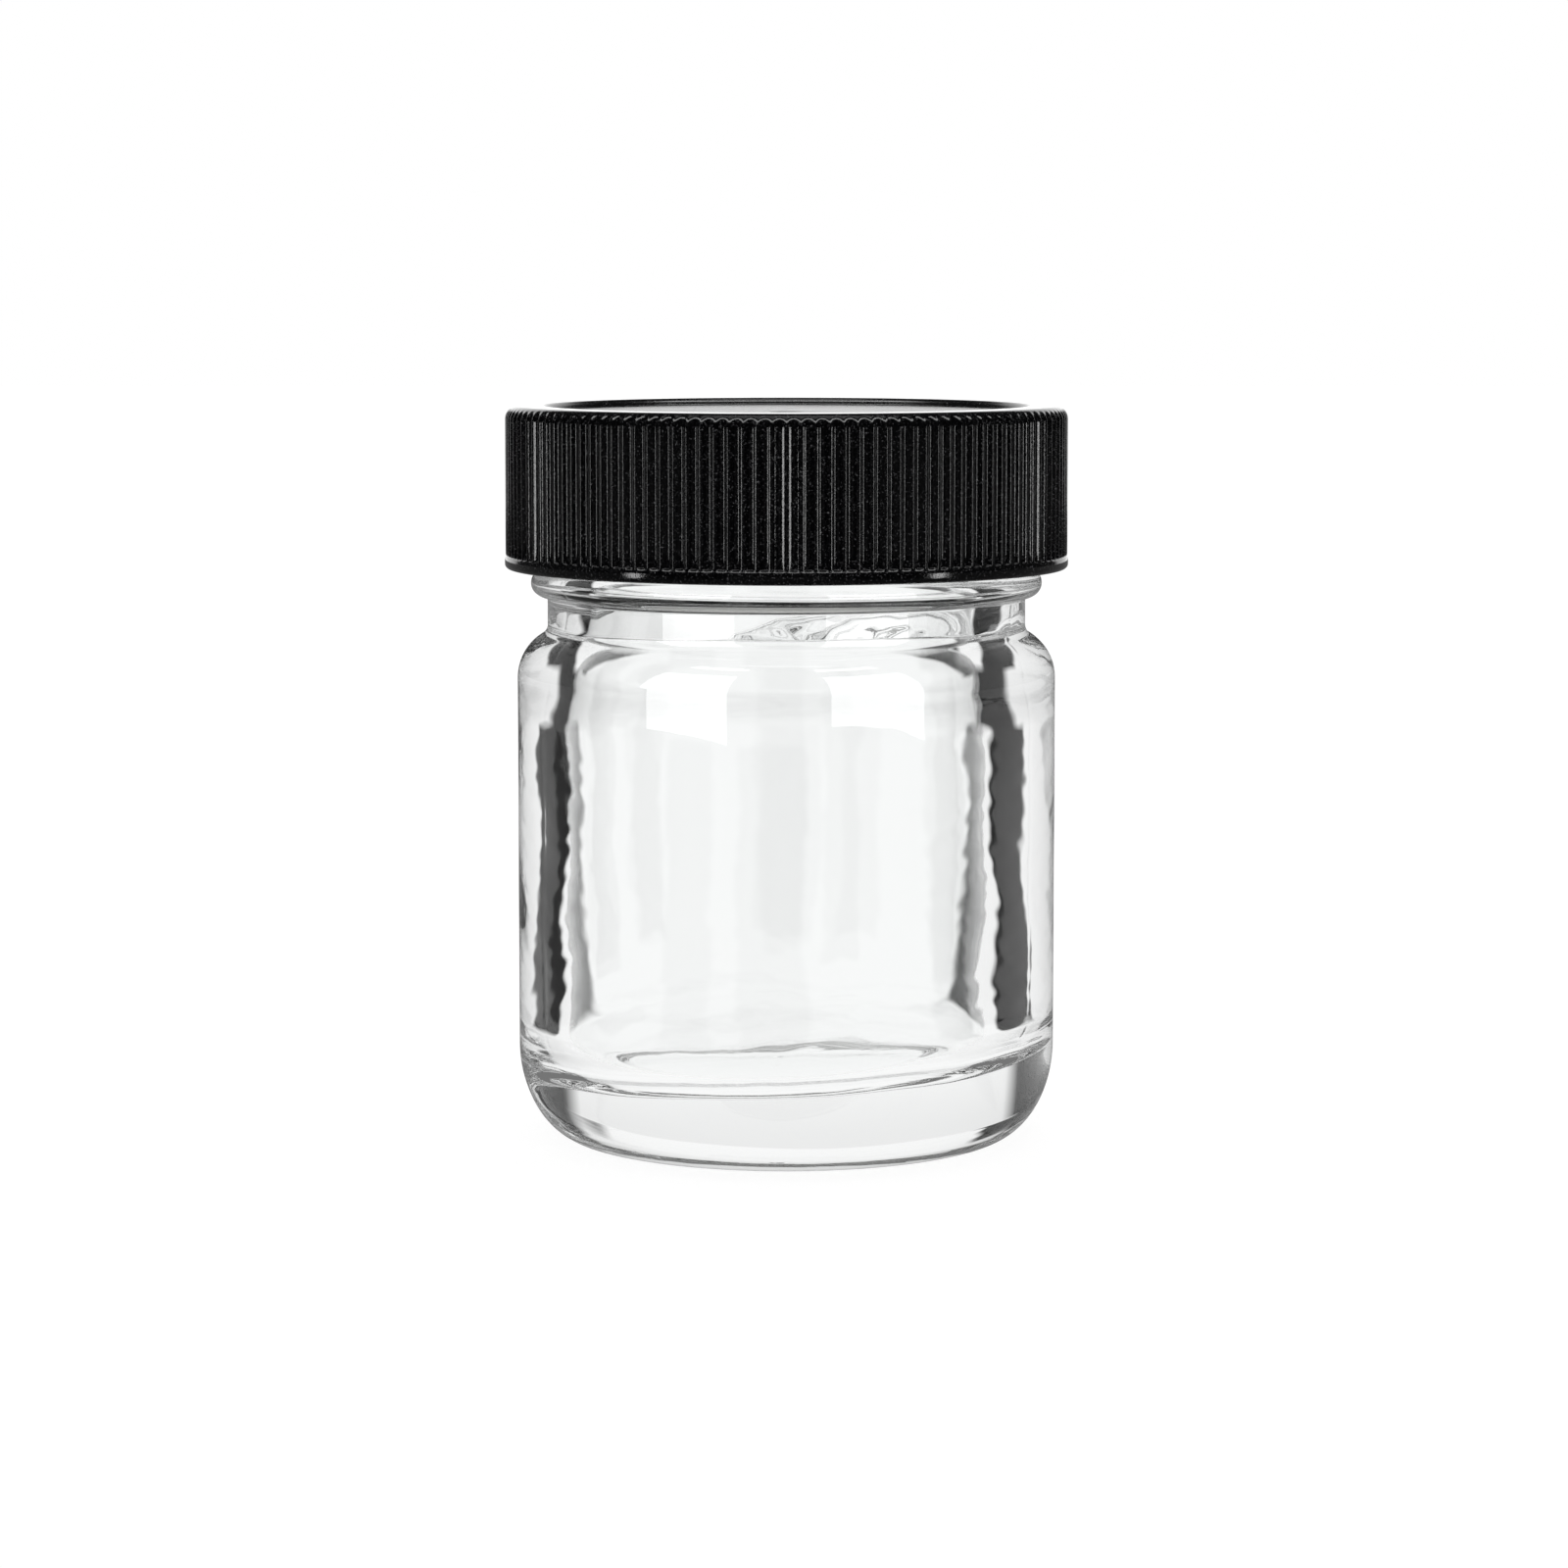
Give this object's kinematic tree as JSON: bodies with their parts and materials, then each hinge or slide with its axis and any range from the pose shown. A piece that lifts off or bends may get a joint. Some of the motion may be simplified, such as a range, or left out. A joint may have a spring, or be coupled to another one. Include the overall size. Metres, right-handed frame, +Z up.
{
  "type": "screw-cap specimen jar",
  "caption": "Small clear glass jar with a thick wall, a threaded neck and a ribbed black screw cap with a sealing disc, for holding and showing a specimen.",
  "frame": {"origin": "centre of the plane the jar stands on, under its axis", "axes": "+Z up along the jar's axis; the jar is round, so X and Y are free"},
  "size_m": [0.041, 0.041, 0.0536],
  "materials": {
    "clear_glass": "clear polished glass",
    "black_polypropylene": "black moulded plastic, fine grain",
    "pulpboard": "matte pulpboard",
    "white_film": "smooth white film"
  },
  "bodies": {
    "jar": {"glass_jar": "clear_glass"},
    "liner": {"liner_board": "pulpboard", "liner_facing": "white_film"},
    "cap": {"screw_cap": "black_polypropylene"}
  },
  "joints": [
    {"name": "cap_rise", "type": "slide", "parent": "jar", "child": "liner", "axis": [0, 0, 1], "range_m": [0, 0.015]},
    {"name": "cap_turn", "type": "hinge", "parent": "liner", "child": "cap", "pos_m": [0, 0, 0.0525], "axis": [0, 0, 1], "range_deg": [0, 1260]}
  ],
  "couplings": [
    {"joint": "cap_rise", "follows": "cap_turn", "m_per_rad": 0.00067375}
  ]
}
